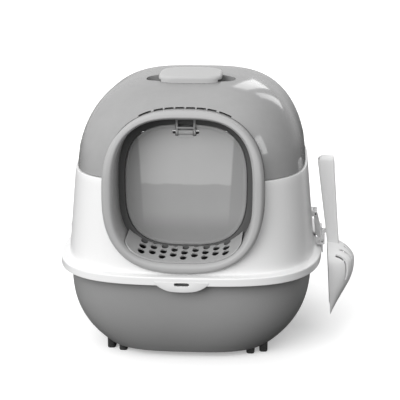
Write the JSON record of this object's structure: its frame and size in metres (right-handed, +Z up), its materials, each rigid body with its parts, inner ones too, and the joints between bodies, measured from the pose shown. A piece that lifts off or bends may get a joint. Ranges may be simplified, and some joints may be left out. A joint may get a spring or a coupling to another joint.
{
  "type": "hooded cat litter box",
  "caption": "Cat litter box with a lift-off hood, flip-up smoky dome, swinging entry door, drain step, side clips and a hung scoop.",
  "frame": {"origin": "on the floor, at the middle of the whole object's footprint, with the hung scoop counted", "axes": "+Z up, -Y out of the entry doorway, +X towards the side that carries the scoop"},
  "size_m": [0.4752, 0.5003, 0.4331],
  "materials": {
    "tray_grey": "satin moulded polypropylene",
    "foot_rubber": "matt rubber",
    "hood_white": "semi-gloss moulded plastic",
    "bezel_grey": "semi-gloss moulded plastic",
    "door_frost": "frosted translucent plastic",
    "dome_smoke": "polished smoky translucent plastic",
    "handle_white": "fine-grained moulded plastic",
    "clip_white": "satin moulded plastic",
    "scoop_grey": "semi-gloss moulded plastic",
    "pin_steel": "drawn steel wire"
  },
  "bodies": {
    "tray": {"tray": "tray_grey", "foot_front_left_outer": "foot_rubber", "foot_front_left_inner": "foot_rubber", "foot_front_right_outer": "foot_rubber", "foot_front_right_inner": "foot_rubber", "foot_rear_left_outer": "foot_rubber", "foot_rear_left_inner": "foot_rubber", "foot_rear_right_outer": "foot_rubber", "foot_rear_right_inner": "foot_rubber"},
    "hood": {"hood_lower": "hood_white", "entry_bezel": "bezel_grey", "step_grate": "bezel_grey", "door_hanger": "bezel_grey", "door_pin": "pin_steel", "dome_hinge_pin_left": "pin_steel", "dome_hinge_pin_right": "pin_steel", "hood_hinge_left": "hood_white", "hood_hinge_right": "hood_white", "clip_bracket_left": "hood_white", "clip_bracket_right": "hood_white", "clip_pin_left": "pin_steel", "clip_pin_right": "pin_steel", "scoop_holder": "clip_white"},
    "dome": {"dome": "dome_smoke", "dome_handle": "handle_white", "dome_knuckle_left": "dome_smoke", "dome_knuckle_right": "dome_smoke"},
    "door": {"door": "door_frost"},
    "clip_left": {"clip_left": "clip_white"},
    "clip_right": {"clip_right": "clip_white"},
    "scoop": {"scoop": "scoop_grey"}
  },
  "joints": [
    {"name": "hood_lift", "type": "slide", "parent": "tray", "child": "hood", "axis": [0, 0, 1], "range_m": [0, 0.26]},
    {"name": "dome_hinge", "type": "hinge", "parent": "hood", "child": "dome", "pos_m": [-0.0276, 0.233, 0.289], "axis": [-1, 0, 0], "range_deg": [0, 95]},
    {"name": "door_swing", "type": "hinge", "parent": "hood", "child": "door", "pos_m": [-0.0276, -0.172, 0.349], "axis": [1, 0, 0], "range_deg": [-65, 80]},
    {"name": "clip_left_swing", "type": "hinge", "parent": "hood", "child": "clip_left", "pos_m": [-0.2278, 0.022, 0.1835], "axis": [0, 1, 0], "range_deg": [0, 70]},
    {"name": "clip_right_swing", "type": "hinge", "parent": "hood", "child": "clip_right", "pos_m": [0.1726, 0.022, 0.1835], "axis": [0, -1, 0], "range_deg": [0, 70]},
    {"name": "scoop_lift", "type": "slide", "parent": "hood", "child": "scoop", "axis": [0, 0, 1], "range_m": [0, 0.28]}
  ]
}
